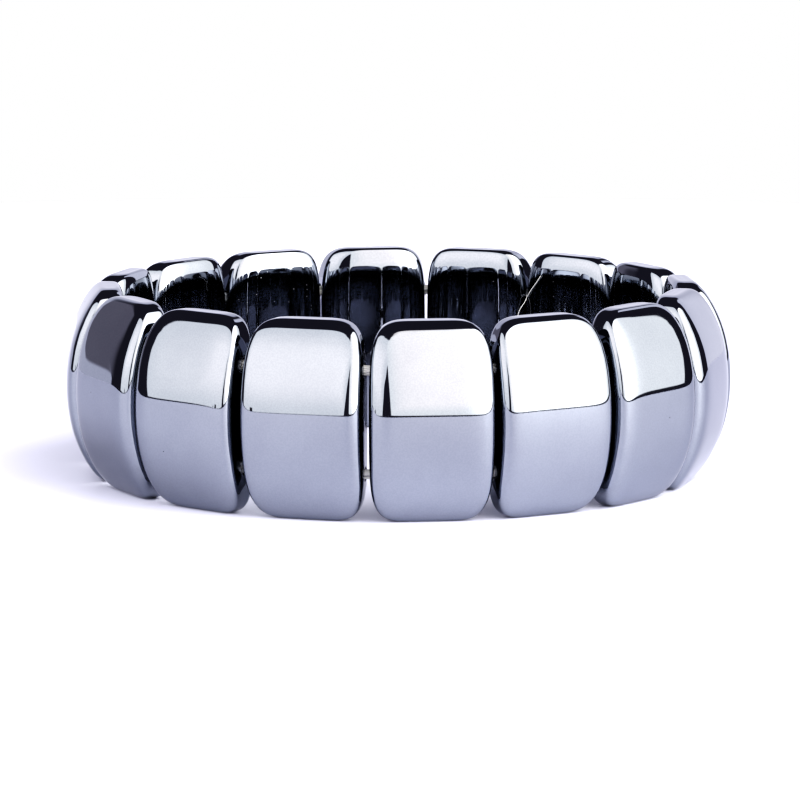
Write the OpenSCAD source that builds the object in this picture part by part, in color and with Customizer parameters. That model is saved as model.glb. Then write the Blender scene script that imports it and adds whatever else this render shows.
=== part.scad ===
// Stretch bracelet of sixteen domed rectangular hematite beads on two elastics.
// The beads stand on their ends, side by side in a closed ring.
// Z is the ring's axis, and the origin is its middle on the surface it rests on.
// Each bead is drawn with its outer face towards -Y, then turned to its place.

/* [Ring] */
// Number of beads in the ring
bead_count = 16; // [14:1:18]
// Gap between neighbouring beads at the line where they are threaded
bead_gap = 0.3; // [0.3:0.05:0.6]
// Turn of the first bead about the ring's axis, in degrees
first_turn = 5.5; // [0:0.5:20]

/* [Bead] */
// Width of a bead along the ring, at the line where it nears its neighbours
bead_w = 11.55; // [10:0.05:13]
// Share by which a bead widens for each millimetre outside that line
wedge = 0.029; // [0.02:0.001:0.031]
// Height of a bead
bead_h = 20; // [18:0.5:22]
// Rise of the domed outer face above that line
dome_rise = 4.7; // [4.2:0.1:5.4]
// Depth of the inner face below that line
inner_depth = 1.6; // [1.2:0.1:1.8]
// Radius of the outer face from top to bottom
dome_radius = 19; // [17:0.5:24]
// Radius of the outer face from side to side
crown_radius = 200; // [100:20:300]
// Squareness of the bead seen from the front, where 2 is an ellipse
front_power = 5.25; // [4:0.05:7]
// Squareness of the outer half of the bead seen from the side
end_power = 4.8; // [3.6:0.1:6]
// Squareness of the inner half of the bead seen from the side
inner_end_power = 5.8; // [4.8:0.2:6.6]
// Squareness of the outer flanks seen from above
outer_power = 6.5; // [5:0.1:8]
// Squareness of the inner flanks seen from above
inner_power = 3.4; // [3:0.2:4.4]
// Share of the rounded height that is kept, which leaves a small flat at each end
end_share = 0.995; // [0.99:0.001:0.997]

/* [Threading] */
// Diameter of the holes through each bead
hole_d = 1.6; // [1.5:0.1:1.8]
// Distance between the upper and the lower hole
hole_spacing = 10.3; // [8:0.1:11]
// Distance of the holes outside the same line
hole_rise = 0.8; // [0.6:0.1:1.4]
// Diameter of the elastics
elastic_d = 1.1; // [0.8:0.1:1.1]

/* [Hidden] */
// How each bead sits on the stretched elastics, going round from the first bead.
// turn is degrees round the ring, lean is degrees about its own radial line, and
// out is millimetres away from the ring's axis.
TURN = 0;
LEAN = 1;
OUT = 2;
sitting = [
    // turn, lean, out
    [0.46, 0, -0.15],
    [0.3, -0.35, -0.1],
    [0.35, 0, 0.1],
    [0.25, -0.35, 0],
    [0.1, 0, 0.15],
    [0.05, 0.25, 0],
    [-0.15, 0, 0],
    [-0.2, 0, 0.1],
    [-0.35, 0.2, 0.15],
    [-0.45, 0, 0.05],
    [-0.2, -0.2, 0.05],
    [0, 0, 0.15],
    [-0.05, 0.25, 0.25],
    [0.08, 0, 0.2],
    [-0.12, 0, 0.1],
    [0.25, -0.2, -0.1]
];

// Facets of a bead: levels from end to end, and points round each level
level_steps = 12;
level_points = 32;
// Sides of an elastic's section
elastic_sides = 12;

step_angle = 360 / bead_count;
ring_r = (bead_w + bead_gap) / 2 / tan(step_angle / 2);
hole_r = ring_r + hole_rise;
half_w = bead_w / 2;
half_h = bead_h / 2;
// Half width of the flat at a bead's end
foot_half_w = half_w * pow(1 - pow(end_share, front_power), 1 / front_power);

BEADS = [for (i = [0 : bead_count - 1]) str("bead_", i < 9 ? "0" : "", i + 1)];

stone = [0.37, 0.39, 0.47];
white = [0.95, 0.95, 0.93];

// A number's power with the number's own sign kept
function signed_pow(v, e) = sign(v) * pow(abs(v), e);

// Half size, from 0 to 1, that a rounded outline leaves at a share of its height
function outline_at(share, power) = pow(1 - pow(abs(share), power), 1 / power);

// How far the outer face has dropped from its top at width t and height z
function dome_drop(t, z) =
    dome_radius - sqrt(dome_radius * dome_radius - z * z) + t * t / (2 * crown_radius);

// A point of the bead at a share of its height and an angle round its section
function bead_point(share, angle) =
    let (outside = sin(angle) < 0)
    let (power = outside ? outer_power : inner_power)
    let (end = outside ? end_power : inner_end_power)
    let (t = half_w * outline_at(share, front_power) * signed_pow(cos(angle), 2 / power))
    let (depth = outline_at(share, end) * signed_pow(sin(angle), 2 / power))
    let (z = half_h * share / end_share)
    let (y = depth < 0 ? depth * (dome_rise - dome_drop(t, z)) : depth * inner_depth)
    [t * (1 - wedge * y), y, z];

bead_points = [
    for (level = [0 : level_steps], k = [0 : level_points - 1])
    bead_point(end_share * sin(180 * level / level_steps - 90), 360 * k / level_points)
];
bead_sides = [
    for (level = [0 : level_steps - 1], k = [0 : level_points - 1])
    let (a = level * level_points)
    let (b = a + level_points)
    let (next = (k + 1) % level_points)
    each [[a + k, b + k, b + next], [a + k, b + next, a + next]]
];
bead_ends = [
    [for (k = [0 : level_points - 1]) k],
    [for (k = [level_points - 1 : -1 : 0]) level_steps * level_points + k]
];

// Lift that keeps a leaning bead's foot on the surface
function foot_lift(lean) = foot_half_w * sin(abs(lean)) + half_h * (cos(lean) - 1);

module bead(i) {
    row = sitting[i % len(sitting)];
    color(stone)
    rotate([0, 0, first_turn + i * step_angle + row[TURN]])
    translate([0, -ring_r - row[OUT], half_h + foot_lift(row[LEAN])])
    rotate([0, row[LEAN], 0])
    difference() {
        polyhedron(points = bead_points, faces = concat(bead_sides, bead_ends), convexity = 4);
        for (side = [-1, 1])
            translate([0, -hole_rise, side * hole_spacing / 2])
            rotate([0, 90, 0])
            cylinder(h = 2 * bead_w, d = hole_d, center = true, $fn = 48);
    }
}

// Distance of an elastic from the ring's axis in the gap after a bead
function gap_r(i) =
    let (this = sitting[i % len(sitting)][OUT])
    let (next = sitting[(i + 1) % bead_count % len(sitting)][OUT])
    hole_r + (this + next) / 2;

// The elastic runs straight through each bead and bends in the gaps between them
module elastic(height) {
    half_step = step_angle / 2;
    points = [
        for (i = [0 : bead_count - 1], k = [0 : elastic_sides - 1])
        let (angle = first_turn + (i + 0.5) * step_angle)
        let (around = 360 * k / elastic_sides)
        let (r = (gap_r(i) + elastic_d / 2 * cos(around)) / cos(half_step))
        [r * sin(angle), -r * cos(angle), height + elastic_d / 2 * sin(around)]
    ];
    faces = [
        for (i = [0 : bead_count - 1], k = [0 : elastic_sides - 1])
        let (a = i * elastic_sides)
        let (b = (i + 1) % bead_count * elastic_sides)
        let (next = (k + 1) % elastic_sides)
        each [[a + k, a + next, b + next], [a + k, b + next, b + k]]
    ];
    color(white)
    polyhedron(points = points, faces = faces, convexity = 6);
}

module upper_elastic() {
    elastic(half_h + hole_spacing / 2);
}

module lower_elastic() {
    elastic(half_h - hole_spacing / 2);
}

for (i = [0 : bead_count - 1])
    bead(i);
upper_elastic();
lower_elastic();
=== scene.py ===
"""Looks of a stretch bracelet: polished hematite beads on two white elastics."""

import math
import random
import bmesh
import bpy
from mathutils import Matrix, Vector


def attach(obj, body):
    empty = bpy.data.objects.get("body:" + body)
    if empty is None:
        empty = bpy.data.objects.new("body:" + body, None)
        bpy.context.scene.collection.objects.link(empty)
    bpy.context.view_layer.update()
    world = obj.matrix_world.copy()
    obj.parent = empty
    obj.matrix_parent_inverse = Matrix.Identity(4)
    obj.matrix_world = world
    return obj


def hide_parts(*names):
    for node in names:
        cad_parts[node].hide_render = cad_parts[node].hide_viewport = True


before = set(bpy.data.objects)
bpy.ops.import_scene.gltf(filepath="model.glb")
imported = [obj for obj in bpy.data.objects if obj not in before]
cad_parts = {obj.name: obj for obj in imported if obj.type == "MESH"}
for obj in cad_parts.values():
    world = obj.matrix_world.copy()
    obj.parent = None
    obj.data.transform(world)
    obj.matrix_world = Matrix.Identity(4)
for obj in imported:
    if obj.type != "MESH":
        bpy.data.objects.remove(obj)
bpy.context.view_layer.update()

MM = 0.001
WHITE = (1, 1, 1, 1)

# The ring, in millimetres, as in the part's source
BEAD_COUNT = 16
BEAD_GAP = 0.3
FIRST_TURN = 5.5
BEAD_W = 11.55
WEDGE = 0.029
BEAD_H = 20
DOME_RISE = 4.7
INNER_DEPTH = 1.6
DOME_RADIUS = 19
CROWN_RADIUS = 200
FRONT_POWER = 5.25
END_POWER = 4.8
OUTER_POWER = 6.5
INNER_POWER = 3.4
INNER_END_POWER = 5.8
END_SHARE = 0.995
HOLE_D = 1.6
HOLE_SPACING = 10.3
HOLE_RISE = 0.8
ELASTIC_D = 1.1

HALF_W = BEAD_W / 2
HALF_H = BEAD_H / 2
STEP_ANGLE = 360 / BEAD_COUNT
RING_R = (BEAD_W + BEAD_GAP) / 2 / math.tan(math.radians(STEP_ANGLE / 2))
HOLE_RING_R = RING_R + HOLE_RISE
UPPER_Z = HALF_H + HOLE_SPACING / 2
LOWER_Z = HALF_H - HOLE_SPACING / 2

# How each bead sits on the elastics: degrees round the ring, degrees of lean about
# its own radial line, and millimetres outwards
SITTING = [
    (0.46, 0, -0.15),
    (0.3, -0.35, -0.1),
    (0.35, 0, 0.1),
    (0.25, -0.35, 0),
    (0.1, 0, 0.15),
    (0.05, 0.25, 0),
    (-0.15, 0, 0),
    (-0.2, 0, 0.1),
    (-0.35, 0.2, 0.15),
    (-0.45, 0, 0.05),
    (-0.2, -0.2, 0.05),
    (0, 0, 0.15),
    (-0.05, 0.25, 0.25),
    (0.08, 0, 0.2),
    (-0.12, 0, 0.1),
    (0.25, -0.2, -0.1),
]
# Place of the millimetres outwards in each row
OUT = 2


# Camera at the photograph's viewing angle

CAMERA_DISTANCE = 497.19
CAMERA_ELEVATION = 8.43
FOCAL_PIXELS = 4749.0
CENTRE_X = 397.5
CENTRE_Y = 376.16
FRAME_PIXELS = 800
SENSOR_WIDTH = 36


def add_camera():
    """Looks level at the middle of the ring from the front and a little above."""
    up = math.radians(CAMERA_ELEVATION)
    data = bpy.data.cameras.new("camera")
    data.sensor_width = SENSOR_WIDTH
    data.lens = FOCAL_PIXELS / FRAME_PIXELS * SENSOR_WIDTH
    data.shift_x = (FRAME_PIXELS / 2 - CENTRE_X) / FRAME_PIXELS
    data.shift_y = (CENTRE_Y - FRAME_PIXELS / 2) / FRAME_PIXELS
    data.clip_start = 0.01
    data.clip_end = 50
    camera = bpy.data.objects.new("camera", data)
    back = -CAMERA_DISTANCE * math.cos(up)
    height = HALF_H + CAMERA_DISTANCE * math.sin(up)
    camera.location = Vector((0, back, height)) * MM
    camera.rotation_euler = (math.pi / 2 - up, 0, 0)
    bpy.context.scene.collection.objects.link(camera)
    bpy.context.scene.camera = camera


# The photograph's tones: darker darks, as linear values in and out
TONE_CURVE = [(0.02, 0.007), (0.06, 0.03), (0.12, 0.082), (0.25, 0.225), (0.5, 0.5)]


def set_tones():
    """Plain display colours with the darks made a little deeper."""
    settings = bpy.context.scene.view_settings
    settings.view_transform = "Standard"
    settings.use_curve_mapping = True
    all_channels = settings.curve_mapping.curves[3]
    for value, shown in TONE_CURVE:
        all_channels.points.new(value, shown)
    settings.curve_mapping.update()


# Node helpers

def add_node(tree, kind, inputs=(), **settings):
    """Adds a node, sets its properties, and fills or links its inputs by name or number."""
    node = tree.nodes.new(kind)
    for name, value in settings.items():
        setattr(node, name, value)
    for key, value in dict(inputs).items():
        if isinstance(value, bpy.types.NodeSocket):
            tree.links.new(value, node.inputs[key])
        else:
            node.inputs[key].default_value = value
    return node


def math_node(tree, operation, *values):
    """Output of a Math node on one to three numbers or sockets."""
    inputs = dict(enumerate(values))
    return add_node(tree, "ShaderNodeMath", inputs, operation=operation).outputs[0]


def vector_node(tree, operation, *values):
    """Outputs of a Vector Math node on one or two vectors or sockets."""
    inputs = dict(enumerate(values))
    return add_node(tree, "ShaderNodeVectorMath", inputs, operation=operation).outputs


def smooth_step(tree, value, low, high):
    """0 below low, 1 above high, and smooth between them."""
    inputs = {"Value": value, "From Min": low, "From Max": high}
    node = add_node(tree, "ShaderNodeMapRange", inputs, interpolation_type="SMOOTHSTEP")
    return node.outputs["Result"]


def mix_colour(tree, factor, first, second, blend="MIX"):
    """Output of a colour Mix node."""
    inputs = {0: factor, 6: first, 7: second}
    node = add_node(tree, "ShaderNodeMix", inputs, data_type="RGBA", blend_type=blend)
    return node.outputs[2]


def new_group(name, inputs, outputs):
    """A shader node group with inputs {name: default} and outputs {name: kind}."""
    group = bpy.data.node_groups.new(name, "ShaderNodeTree")
    for key, default in inputs.items():
        kind = "NodeSocketVector" if isinstance(default, tuple) else "NodeSocketFloat"
        socket = group.interface.new_socket(key, in_out="INPUT", socket_type=kind)
        socket.default_value = default
    for key, kind in outputs.items():
        group.interface.new_socket(key, in_out="OUTPUT", socket_type="NodeSocket" + kind)
    return group, group.nodes.new("NodeGroupInput").outputs, group.nodes.new("NodeGroupOutput")


def use_group(tree, group, **values):
    """Places a group in a tree; an underscore in a value's name stands for a space."""
    inputs = {key.replace("_", " "): value for key, value in values.items()}
    return add_node(tree, "ShaderNodeGroup", inputs, node_tree=group).outputs


def new_material(name, **constants):
    """A material with its Principled shader's constant sockets set."""
    material = bpy.data.materials.new(name)
    material.use_nodes = True
    tree = material.node_tree
    shader = tree.nodes["Principled BSDF"]
    for key, value in constants.items():
        shader.inputs[key.replace("_", " ")].default_value = value
    return material, tree, shader.inputs


# Studio: a round pale table, two large soft boxes, a pale backdrop and a grey wall, and
# all else dark

FLOOR_R = 260
FLOOR_SIDES = 96
FLOOR_ROUGHNESS = 0.5
FLOOR_COLOUR = (0.665, 0.68, 0.85, 1)


def add_floor():
    """A plain pale floor at the height that the bead ends rest on."""
    bm = bmesh.new()
    bmesh.ops.create_circle(bm, cap_ends=True, segments=FLOOR_SIDES, radius=FLOOR_R * MM)
    mesh = bpy.data.meshes.new("floor")
    bm.to_mesh(mesh)
    bm.free()
    floor = bpy.data.objects.new("floor", mesh)
    bpy.context.scene.collection.objects.link(floor)
    material, _, _ = new_material("pale_floor", Base_Color=FLOOR_COLOUR, Roughness=FLOOR_ROUGHNESS)
    mesh.materials.append(material)


# The most sides that a panel has
PANEL_SIDES = 6


def panel_group():
    """Mask of a studio panel: 0 outside any of its sides, 1 well inside them all."""
    defaults = {"Direction": (0, 0, 1)}
    defaults.update({f"Side {n}": (0, 0, 1) for n in range(PANEL_SIDES)})
    group, given, out = new_group("studio_panel", defaults, {"Mask": "Float"})
    nearest = 1.0
    for n in range(PANEL_SIDES):
        dot = vector_node(group, "DOT_PRODUCT", given["Direction"], given[f"Side {n}"])["Value"]
        nearest = math_node(group, "MINIMUM", nearest, dot)
    group.links.new(smooth_step(group, nearest, 0.0, 1.0), out.inputs["Mask"])
    return group


def panel_sides(corners):
    """Inward vectors of a panel's sides, each divided by the width of its soft edge."""
    points = []
    for azimuth, elevation, _ in corners:
        round_z = Matrix.Rotation(math.radians(azimuth), 3, "Z")
        upwards = Matrix.Rotation(-math.radians(elevation), 3, "X")
        points.append(round_z @ upwards @ Vector((0, -1, 0)))
    middle = sum(points, Vector((0, 0, 0)))
    sides = []
    for n, point in enumerate(points):
        side = point.cross(points[(n + 1) % len(points)]).normalized()
        side *= math.copysign(1, side.dot(middle))
        sides.append(side / math.sin(math.radians(corners[n][2])))
    return sides + sides[:1] * (PANEL_SIDES - len(sides))


# Each panel: its colour, then its corners as azimuth from the camera's side, elevation,
# and the width of the soft edge from that corner to the next, in degrees
PANELS = [
    # Backdrop, and its taller, brighter end on the right
    (
        (1.5, 1.49, 1.72),
        [
            (140, -25, 1), (140, 28, 6), (-146, 26, 1),
            (-121, -0.5, 1), (-121, -25, 1),
        ],
    ),
    (
        (2.15, 2.12, 2.35),
        [(140, -25, 1), (139, 46, 2), (160, 42, 8), (160, -25, 1)],
    ),
    # Grey wall beside the backdrop
    (
        (0.5, 0.465, 0.54),
        [
            (-118, -0.5, 7), (-120, 14, 4), (-128, 26, 2),
            (-148, 27, 1), (-142, 9, 1), (-130, 1, 1),
        ],
    ),
    # Left soft box, and its brighter middle
    (
        (2.8, 2.8, 2.75),
        [(-88, -2.2, 1), (-106, 43, 1.5), (13, 52, 1), (-14, -2.3, 0.4)],
    ),
    (
        (4.05, 3.85, 3.65),
        [(-88, -2.2, 24), (-106, 43, 30), (13, 52, 16), (-14, -2.3, 20)],
    ),
    # Right soft box, its brighter middle, and its brightest part towards the right
    (
        (3.4, 3.38, 3.2),
        [
            (2, -1.8, 1), (-5, 54, 1.5), (18, 72, 1.5),
            (95, 66, 1), (127, 40, 1), (109, -1.2, 0.4),
        ],
    ),
    (
        (4.5, 4.15, 3.82),
        [
            (2, -1.8, 13), (-5, 54, 1.5), (18, 72, 1.5),
            (90, 66, 1), (120, 40, 60), (103, -1.2, 9),
        ],
    ),
    (
        (12.5, 12.3, 11.5),
        [
            (12, -1.8, 40), (12, 54, 1.5), (24, 70, 1.5),
            (90, 66, 1), (120, 40, 60), (103, -1.2, 0.4),
        ],
    ),
    # Dark foot of the left soft box's stand
    (
        (0.1, 0.1, 0.12),
        [(-56, -5, 1), (-56, -0.3, 0.8), (-49, -0.3, 1), (-49, -5, 1)],
    ),
]
DARK = (0.085, 0.078, 0.11, 1)


def add_studio():
    """Even light for what the camera sees, and the studio's panels for reflections."""
    world = bpy.data.worlds.new("studio")
    bpy.context.scene.world = world
    world.use_nodes = True
    tree = world.node_tree
    tree.nodes.clear()
    direction = add_node(tree, "ShaderNodeTexCoord").outputs["Generated"]
    panel = panel_group()
    colour = DARK
    for shade, corners in PANELS:
        inputs = {f"Side_{n}": side for n, side in enumerate(panel_sides(corners))}
        mask = use_group(tree, panel, Direction=direction, **inputs)["Mask"]
        colour = mix_colour(tree, mask, colour, (*shade, 1))
    around = add_node(tree, "ShaderNodeBackground", {"Color": colour}).outputs[0]
    behind = add_node(tree, "ShaderNodeBackground", {"Color": WHITE}).outputs[0]
    seen = add_node(tree, "ShaderNodeLightPath").outputs["Is Camera Ray"]
    mixed = add_node(tree, "ShaderNodeMixShader", {0: seen, 1: around, 2: behind}).outputs[0]
    add_node(tree, "ShaderNodeOutputWorld", {"Surface": mixed})


# Materials

def grain_group():
    """Fine crystalline grain under a polish, with broad cloudy patches."""
    defaults = {"Grain Size": 0.15, "Cloud Size": 4}
    group, given, out = new_group("stone_grain", defaults, {"Grain": "Float", "Cloud": "Float"})
    place = add_node(group, "ShaderNodeTexCoord").outputs["Object"]
    for key, size, detail in (("Grain", "Grain Size", 2), ("Cloud", "Cloud Size", 3)):
        scale = math_node(group, "DIVIDE", 1 / MM, given[size])
        inputs = {"Vector": place, "Scale": scale, "Detail": detail}
        noise = add_node(group, "ShaderNodeTexNoise", inputs).outputs[0]
        group.links.new(noise, out.inputs[key])
    return group


def speck_group():
    """Mask of small round specks: one in some of the cells of an irregular grid."""
    defaults = {"Spacing": 1.5, "Size": 0.08, "Share": 0.3}
    group, given, out = new_group("scattered_specks", defaults, {"Mask": "Float"})
    place = add_node(group, "ShaderNodeTexCoord").outputs["Object"]
    scale = math_node(group, "DIVIDE", 1 / MM, given["Spacing"])
    cells = add_node(group, "ShaderNodeTexVoronoi", {"Vector": place, "Scale": scale}).outputs
    radius = math_node(group, "DIVIDE", given["Size"], given["Spacing"])
    inner = math_node(group, "MULTIPLY", radius, 0.5)
    outside = smooth_step(group, cells["Distance"], inner, radius)
    chance = add_node(group, "ShaderNodeSeparateColor", {0: cells["Color"]}).outputs[0]
    chosen = math_node(group, "LESS_THAN", chance, given["Share"])
    inside = math_node(group, "SUBTRACT", 1.0, outside)
    group.links.new(math_node(group, "MULTIPLY", inside, chosen), out.inputs["Mask"])
    return group


# Noise values over which the stone's grain and clouds go from dark to light
GRAIN_RANGE = (0.35, 0.65)
CLOUD_RANGE = (0.3, 0.7)
HEMATITE_LIGHT = (0.227, 0.243, 0.279, 1)
HEMATITE_DARK = (0.211, 0.227, 0.263, 1)
# At a grazing angle the stone mirrors a little less than a metal of this colour would
HEMATITE_EDGE = (0.74, 0.74, 0.76, 1)
CLOUD_SHADE = (0.94, 0.94, 0.95, 1)
PIT_COLOUR = (0.03, 0.03, 0.04, 1)
# Roughness of the polish where the stone is darkest, and how much more where it's palest
POLISH_ROUGHNESS = 0.026
POLISH_CHANGE = 0.012
DUST_COLOUR = (0.55, 0.54, 0.56, 1)
# Dust has gathered on the beads' inner faces, within this distance of the ring's axis,
# and thins out over the next bit
DUSTY_R = 28.8
DUST_FADE = 0.5
# How much a speck of dust hides of the stone under it
DUST_COVER = 0.3

DRILLED_DARK = (0.05, 0.045, 0.05, 1)
DRILLED_LIGHT = (0.16, 0.14, 0.15, 1)
CHIP_COLOUR = (0.3, 0.28, 0.3, 1)
DRILLED_ROUGHNESS = 0.45

ELASTIC_DARK = (0.64, 0.64, 0.65, 1)
ELASTIC_LIGHT = (0.76, 0.76, 0.75, 1)
ELASTIC_ROUGHNESS = 0.35

# How far the clouds change the roughness of the drilled stone and of the elastic
MATT_CHANGE = 0.2


def polished_hematite(grain, specks):
    """Mirror-polished dark blue-grey stone with fine grain, a few pits and dust."""
    material, tree, shader = new_material("polished_hematite", Specular_Tint=HEMATITE_EDGE)
    body = use_group(tree, grain, Grain_Size=0.16, Cloud_Size=5.0)
    fine = smooth_step(tree, body["Grain"], *GRAIN_RANGE)
    colour = mix_colour(tree, fine, HEMATITE_DARK, HEMATITE_LIGHT)
    cloud = smooth_step(tree, body["Cloud"], *CLOUD_RANGE)
    shade = mix_colour(tree, cloud, CLOUD_SHADE, WHITE)
    colour = mix_colour(tree, 1.0, colour, shade, "MULTIPLY")
    pits = use_group(tree, specks, Spacing=1.3, Size=0.07, Share=0.1)["Mask"]
    colour = mix_colour(tree, pits, colour, PIT_COLOUR)
    dust = use_group(tree, specks, Spacing=0.5, Size=0.045, Share=0.25)["Mask"]
    place = add_node(tree, "ShaderNodeTexCoord").outputs["Object"]
    level = vector_node(tree, "MULTIPLY", place, (1, 1, 0))[0]
    from_axis = vector_node(tree, "LENGTH", level)["Value"]
    outside = smooth_step(tree, from_axis, DUSTY_R * MM, (DUSTY_R + DUST_FADE) * MM)
    inside = math_node(tree, "SUBTRACT", 1.0, outside)
    dust = math_node(tree, "MULTIPLY", dust, math_node(tree, "MULTIPLY", inside, DUST_COVER))
    colour = mix_colour(tree, dust, colour, DUST_COLOUR)
    tree.links.new(colour, shader["Base Color"])
    polish = math_node(tree, "MULTIPLY_ADD", cloud, POLISH_CHANGE, POLISH_ROUGHNESS)
    rough = math_node(tree, "MAXIMUM", math_node(tree, "MAXIMUM", polish, pits), dust)
    tree.links.new(rough, shader["Roughness"])
    tree.links.new(math_node(tree, "SUBTRACT", 1.0, dust), shader["Metallic"])
    height = math_node(tree, "SUBTRACT", dust, pits)
    bump = {"Strength": 0.4, "Distance": 0.02 * MM, "Height": height}
    tree.links.new(add_node(tree, "ShaderNodeBump", bump).outputs[0], shader["Normal"])
    return material


def drilled_hematite(grain, specks):
    """The matt, grey-brown wall that a drill leaves in the stone."""
    material, tree, shader = new_material("drilled_hematite", Metallic=0.2)
    body = use_group(tree, grain, Grain_Size=0.1, Cloud_Size=1.0)
    colour = mix_colour(tree, body["Grain"], DRILLED_DARK, DRILLED_LIGHT)
    chips = use_group(tree, specks, Spacing=0.4, Size=0.15, Share=0.5)["Mask"]
    tree.links.new(mix_colour(tree, chips, colour, CHIP_COLOUR), shader["Base Color"])
    rough = math_node(tree, "MULTIPLY_ADD", body["Cloud"], MATT_CHANGE, DRILLED_ROUGHNESS)
    tree.links.new(rough, shader["Roughness"])
    bump = {"Strength": 0.5, "Distance": 0.03 * MM, "Height": body["Grain"]}
    tree.links.new(add_node(tree, "ShaderNodeBump", bump).outputs[0], shader["Normal"])
    return material


def stretch_elastic(grain):
    """White elastic fibres with a fine, slightly darker mottle."""
    material, tree, shader = new_material("stretch_elastic", Sheen_Weight=0.3)
    body = use_group(tree, grain, Grain_Size=0.12, Cloud_Size=2.0)
    colour = mix_colour(tree, body["Grain"], ELASTIC_DARK, ELASTIC_LIGHT)
    tree.links.new(colour, shader["Base Color"])
    rough = math_node(tree, "MULTIPLY_ADD", body["Cloud"], MATT_CHANGE, ELASTIC_ROUGHNESS)
    tree.links.new(rough, shader["Roughness"])
    return material


# Beads

# Lines of the bead's grid, as shares of its half width, depth and half height
SIDE_LINES = [0, 0.3, 0.55, 0.74, 0.87, 0.95]
DEPTH_LINES = [-0.95, -0.84, -0.66, 0.3, 0.6, 0.85]
HEIGHT_LINES = [0, 0.13, 0.27, 0.7, 0.8, 0.87, 0.93, 0.97]
# The ring of grid points round each end of a hole, in millimetres
RIM_R = 1.0
RIM_WIDTH = 0.14
# An eight-sided ring keeps this share of its radius when it is smoothed
SMOOTHED_RING = (4 + 2 * math.cos(math.pi / 4)) / 6
# Places of the bore's rings, in millimetres in from each flank
BORE_RINGS = [0.45, 1.5]
SMOOTHING_LEVELS = 2
FITTING_ROUNDS = 12
# How close a cut or a point has to be to count as in the same place
SAME_CUT = 1e-6
SAME_PLACE = 1e-4
# The search for the surface along a grid point's line reaches this many times as far as
# the point, and is halved this many times
SEARCH_REACH = 1.5
HALVINGS = 40


def outline_at(share, power):
    """Half size, from 0 to 1, that a rounded outline leaves at a share of its height."""
    return max(0.0, 1 - abs(share) ** power) ** (1 / power)


def dome_drop(t, z):
    """How far the outer face has dropped from its top at width t and height z."""
    return DOME_RADIUS - math.sqrt(DOME_RADIUS ** 2 - z * z) + t * t / (2 * CROWN_RADIUS)


def squareness(y):
    """Powers of the flanks and of the ends at depth y, outside or inside the middle."""
    return (OUTER_POWER, END_POWER) if y < 0 else (INNER_POWER, INNER_END_POWER)


def is_inside(x, y, z):
    """Whether a point, in shares of the half sizes, lies inside the bead."""
    if abs(z) >= 1:
        return False
    power, end_power = squareness(y)
    across = abs(x) / outline_at(z, FRONT_POWER)
    deep = abs(y) / outline_at(z, end_power)
    return across ** power + deep ** power < 1


def on_surface(point):
    """Moves a grid point along its line from the bead's middle onto the bead, in mm."""
    low, high = 0.0, SEARCH_REACH
    for _ in range(HALVINGS):
        middle = (low + high) / 2
        if is_inside(*(point * middle)):
            low = middle
        else:
            high = middle
    x, y, z = point * low
    z = max(-END_SHARE, min(END_SHARE, z)) / END_SHARE * HALF_H
    y *= DOME_RISE - dome_drop(x * HALF_W, z) if y < 0 else INNER_DEPTH
    return Vector((x * HALF_W * (1 - WEDGE * y), y, z))


def flank_at(y, z):
    """Distance of the bead's flank from its middle at depth y and height z, in mm."""
    share = abs(z) / HALF_H * END_SHARE
    depth = DOME_RISE - dome_drop(HALF_W, z) if y < 0 else INNER_DEPTH
    power, end_power = squareness(y)
    deep = abs(y) / depth / outline_at(share, end_power)
    return HALF_W * outline_at(share, FRONT_POWER) * outline_at(deep, power) * (1 - WEDGE * y)


def smoothed_place(vert):
    """Where subdivision smoothing would move a point among four-sided faces."""
    count = len(vert.link_faces)
    total = vert.co * count * count
    for edge in vert.link_edges:
        total += 4 * edge.other_vert(vert).co
    for face in vert.link_faces:
        corners = face.verts[:]
        total += corners[(corners.index(vert) + 2) % 4].co
    return total / (count * (count + 5))


def fit_smoothing(verts):
    """Shifts points until the smoothed surface passes through where they stood."""
    wanted = [(v, v.co.copy()) for v in verts]
    for _ in range(FITTING_ROUNDS):
        shifts = [(v, place - smoothed_place(v)) for v, place in wanted]
        for v, shift in shifts:
            v.co += shift


def cut_cube(depths, heights):
    """A cube of size 2, cut at the bead's grid lines."""
    cuts = [(0, c) for c in SIDE_LINES] + [(0, -c) for c in SIDE_LINES[1:]]
    cuts += [(1, c) for c in depths]
    cuts += [(2, c) for c in heights] + [(2, -c) for c in heights if c > 0]
    bm = bmesh.new()
    bmesh.ops.create_cube(bm, size=2)
    for axis, place in cuts:
        normal = Vector((axis == 0, axis == 1, axis == 2))
        geometry = bm.verts[:] + bm.edges[:] + bm.faces[:]
        bmesh.ops.bisect_plane(
            bm, geom=geometry, dist=SAME_CUT, plane_co=normal * place, plane_no=normal
        )
    return bm


def hole_ends(bm, hole, rim):
    """Grid points in the middle and on the rim of each end of each hole.

    hole and rim hold a depth and a height, as shares of the half sizes.
    """
    middles, rims = [], []
    for side in (-1, 1):
        for level in (-hole[1], hole[1]):
            middle = Vector((side, hole[0], level))
            near = [
                v for v in bm.verts
                if abs(v.co.x - side) < SAME_PLACE
                and abs(v.co.y - hole[0]) < rim[0] + SAME_PLACE
                and abs(v.co.z - level) < rim[1] + SAME_PLACE
            ]
            for v in near:
                away = v.co - middle
                if away.length < SAME_PLACE:
                    middles.append(v)
                else:
                    angle = math.atan2(away.z / rim[1], away.y / rim[0])
                    rims.append((v, side, math.copysign(1, level), angle))
    return middles, rims


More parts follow.
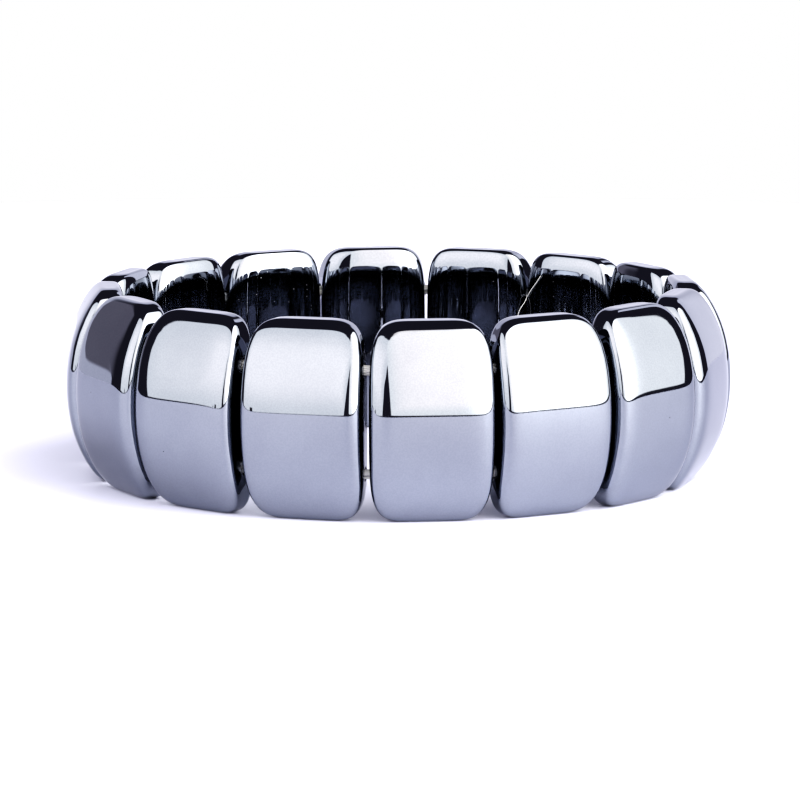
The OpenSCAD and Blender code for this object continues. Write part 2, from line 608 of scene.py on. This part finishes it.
def drill(bm, middles):
    """Cuts a narrow rim round each hole's ends, and the bore between them."""
    for v in middles:
        bmesh.ops.inset_region(bm, faces=v.link_faces[:], thickness=RIM_WIDTH, use_even_offset=True)
    bmesh.ops.delete(bm, geom=middles, context="VERTS")
    edges = [e for e in bm.edges if e.is_boundary]
    for upper in (False, True):
        loops = [e for e in edges if (e.verts[0].co.z > 0) == upper]
        for wall in bmesh.ops.bridge_loops(bm, edges=loops)["faces"]:
            wall.material_index = 1
    bore_r = HOLE_D / 2 / SMOOTHED_RING
    for place in [side * (HALF_W - inwards) for side in (-1, 1) for inwards in BORE_RINGS]:
        walls = [f for f in bm.faces if f.material_index == 1]
        geometry = walls + list({e for f in walls for e in f.edges})
        geometry += list({v for f in walls for v in f.verts})
        ring = bmesh.ops.bisect_plane(
            bm, geom=geometry, dist=SAME_CUT, plane_co=(place, 0, 0), plane_no=(1, 0, 0)
        )["geom_cut"]
        for v in ring:
            if isinstance(v, bmesh.types.BMVert):
                level = math.copysign(HOLE_SPACING / 2, v.co.z)
                away = Vector((0, v.co.y + HOLE_RISE, v.co.z - level)).normalized() * bore_r
                v.co = Vector((place, away.y - HOLE_RISE, away.z + level))


def bead_shape():
    """The drilled bead's mesh at the origin, with its outer face towards -Y, in mm."""
    flank_depth = DOME_RISE - dome_drop(HALF_W, HOLE_SPACING / 2)
    hole = (-HOLE_RISE / flank_depth, HOLE_SPACING / 2 / HALF_H * END_SHARE)
    rim = (RIM_R / flank_depth, RIM_R / HALF_H)
    depths = DEPTH_LINES + [hole[0] - rim[0], hole[0], hole[0] + rim[0]]
    heights = HEIGHT_LINES + [hole[1] - rim[1], hole[1], hole[1] + rim[1]]
    bm = cut_cube(depths, heights)
    middles, rims = hole_ends(bm, hole, rim)
    for v in bm.verts:
        v.co = on_surface(v.co)
    for v, side, level, angle in rims:
        y = -HOLE_RISE + RIM_R * math.cos(angle)
        z = level * HOLE_SPACING / 2 + RIM_R * math.sin(angle)
        v.co = Vector((side * flank_at(y, z), y, z))
    for v in middles:
        y, z = -HOLE_RISE, math.copysign(HOLE_SPACING / 2, v.co.z)
        v.co = Vector((math.copysign(flank_at(y, z), v.co.x), y, z))
    drill(bm, middles)
    fit_smoothing([v for v in bm.verts if all(f.material_index == 0 for f in v.link_faces)])
    bmesh.ops.recalc_face_normals(bm, faces=bm.faces[:])
    for face in bm.faces:
        face.smooth = True
    return bm


def add_piece(mesh, materials, node):
    """Links a finished mesh as the piece that stands for a node of the frame."""
    for material in materials:
        mesh.materials.append(material)
    piece = bpy.data.objects.new(mesh.name, mesh)
    bpy.context.scene.collection.objects.link(piece)
    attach(piece, "root")
    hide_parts(node)
    return piece


def bead_place(index):
    """Matrix that takes the bead from the origin to its place in the ring, in metres."""
    turn, lean, out = SITTING[index]
    foot = HALF_W * outline_at(END_SHARE, FRONT_POWER)
    leaning = math.radians(lean)
    lift = foot * math.sin(abs(leaning)) + HALF_H * (math.cos(leaning) - 1)
    round_ring = Matrix.Rotation(math.radians(FIRST_TURN + index * STEP_ANGLE + turn), 4, "Z")
    outwards = Matrix.Translation((0, -RING_R - out, HALF_H + lift))
    return Matrix.Scale(MM, 4) @ round_ring @ outwards @ Matrix.Rotation(leaning, 4, "Y")


def add_beads(polished, drilled):
    """One smooth drilled bead for each bead of the frame."""
    shape = bead_shape()
    for index in range(BEAD_COUNT):
        name = f"bead_{index + 1:02d}"
        mesh = bpy.data.meshes.new("hematite_" + name)
        shape.to_mesh(mesh)
        mesh.transform(bead_place(index))
        bead = add_piece(mesh, [polished, drilled], name)
        smooth = bead.modifiers.new("smooth", "SUBSURF")
        smooth.levels = SMOOTHING_LEVELS
        smooth.render_levels = SMOOTHING_LEVELS
    shape.free()


# Elastics

FIBRES = 12
FIBRE_D = 0.26
# Every fourth fibre runs near the middle, at this share of the others' distance
CORE_FIBRE = 4
CORE_REACH = 0.35
FIBRE_TURN_LENGTH = 14
# How far a fibre's start is shifted, and how far it wanders along the way, in radians
FIBRE_SHIFT = 0.1
FIBRE_WANDER = 0.12
WANDER_WAVES = [7, 12, 17]
STATIONS_PER_BEAD = 12
LOOSE_FIBRE_D = 0.07
# The two ends of a broken fibre of the upper elastic, out of the gap after the seventh
# bead: degrees round the ring, distance from its axis and height of each point
LOOSE_ENDS = [
    [
        (151.55, 30.4, 15.2), (151.5, 29.8, 15.15), (150.9, 29.2, 15.0),
        (150.3, 28.95, 15.24), (149.77, 28.8, 15.67), (148.56, 28.62, 16.34),
        (147.46, 28.45, 16.97), (146.45, 28.33, 17.57),
    ],
    [
        (151.55, 30.4, 15.1), (151.5, 29.8, 15.0), (150.95, 29.2, 14.85),
        (151.3, 28.95, 14.33), (151.8, 28.85, 13.96), (152.2, 28.8, 13.6),
        (152.45, 28.8, 13.26), (152.7, 28.8, 12.88),
    ],
]


def elastic_corner(gap):
    """Where the elastics bend in the gap after a bead, seen from above, in mm."""
    outwards = (SITTING[gap % BEAD_COUNT][OUT] + SITTING[(gap + 1) % BEAD_COUNT][OUT]) / 2
    r = (HOLE_RING_R + outwards) / math.cos(math.radians(STEP_ANGLE / 2))
    angle = math.radians(FIRST_TURN + (gap + 0.5) * STEP_ANGLE)
    return Vector((r * math.sin(angle), -r * math.cos(angle), 0))


def ring_point(along, outwards, height):
    """A point of a line that runs straight through each bead, in metres.

    along counts beads from the gap before the first bead.
    """
    index = math.floor(along)
    facing = math.radians(FIRST_TURN + index * STEP_ANGLE)
    place = elastic_corner(index - 1).lerp(elastic_corner(index), along - index)
    away = Vector((math.sin(facing), -math.cos(facing), 0)) * outwards
    return (place + away + Vector((0, 0, height))) * MM


def rounded(points):
    """A line of points with its corners cut off twice."""
    for _ in range(2):
        cuts = [a.lerp(b, share) for a, b in zip(points, points[1:]) for share in (0.25, 0.75)]
        points = [points[0], *cuts, points[-1]]
    return points


def tube_mesh(name, strands):
    """One mesh of round tubes, each a list of points, a diameter and whether it closes."""
    curve = bpy.data.curves.new(name, "CURVE")
    curve.dimensions = "3D"
    # With this depth, a point's radius stands for the tube's diameter in millimetres
    curve.bevel_depth = MM / 2
    curve.bevel_resolution = 1
    curve.use_fill_caps = True
    for line, diameter, cyclic in strands:
        spline = curve.splines.new("POLY")
        spline.points.add(len(line) - 1)
        for point, place in zip(spline.points, line):
            point.co = (*place, 1)
            point.radius = diameter
        spline.use_cyclic_u = cyclic
        spline.use_smooth = True
    holder = bpy.data.objects.new(name + "_line", curve)
    bpy.context.scene.collection.objects.link(holder)
    depsgraph = bpy.context.evaluated_depsgraph_get()
    mesh = bpy.data.meshes.new_from_object(holder.evaluated_get(depsgraph))
    mesh.name = name
    mesh.materials.clear()
    for polygon in mesh.polygons:
        polygon.use_smooth = True
    bpy.data.objects.remove(holder)
    bpy.data.curves.remove(curve)
    return mesh


def add_elastic(node, height, material, seed, loose_ends=()):
    """A bundle of fine elastic fibres that turn slowly round each other."""
    rng = random.Random(seed)
    turns = round(2 * math.pi * HOLE_RING_R / FIBRE_TURN_LENGTH)
    stations = BEAD_COUNT * STATIONS_PER_BEAD
    strands = []
    for fibre in range(FIBRES):
        in_core = (fibre + 1) % CORE_FIBRE == 0
        reach = (ELASTIC_D - FIBRE_D) / 2 * (CORE_REACH if in_core else 1)
        start = 2 * math.pi * fibre / FIBRES + rng.uniform(-FIBRE_SHIFT, FIBRE_SHIFT)
        waves = [(count, rng.uniform(0, 2 * math.pi)) for count in WANDER_WAVES]
        line = []
        for k in range(stations):
            share = k / stations
            once_round = 2 * math.pi * share
            wander = sum(FIBRE_WANDER * math.sin(once_round * n + drift) for n, drift in waves)
            angle = start + once_round * turns + wander
            outwards, upwards = reach * math.cos(angle), reach * math.sin(angle)
            line.append(ring_point(share * BEAD_COUNT, outwards, height + upwards))
        strands.append((line, FIBRE_D, True))
    for end in loose_ends:
        line = [
            Matrix.Rotation(math.radians(angle), 3, "Z") @ Vector((0, -r, z)) * MM
            for angle, r, z in end
        ]
        strands.append((rounded(line), LOOSE_FIBRE_D, False))
    add_piece(tube_mesh("white_" + node, strands), [material], node)


def main():
    add_camera()
    set_tones()
    add_floor()
    add_studio()
    grain = grain_group()
    specks = speck_group()
    add_beads(polished_hematite(grain, specks), drilled_hematite(grain, specks))
    elastic = stretch_elastic(grain)
    add_elastic("upper_elastic", UPPER_Z, elastic, 1, LOOSE_ENDS)
    add_elastic("lower_elastic", LOWER_Z, elastic, 2)


main()
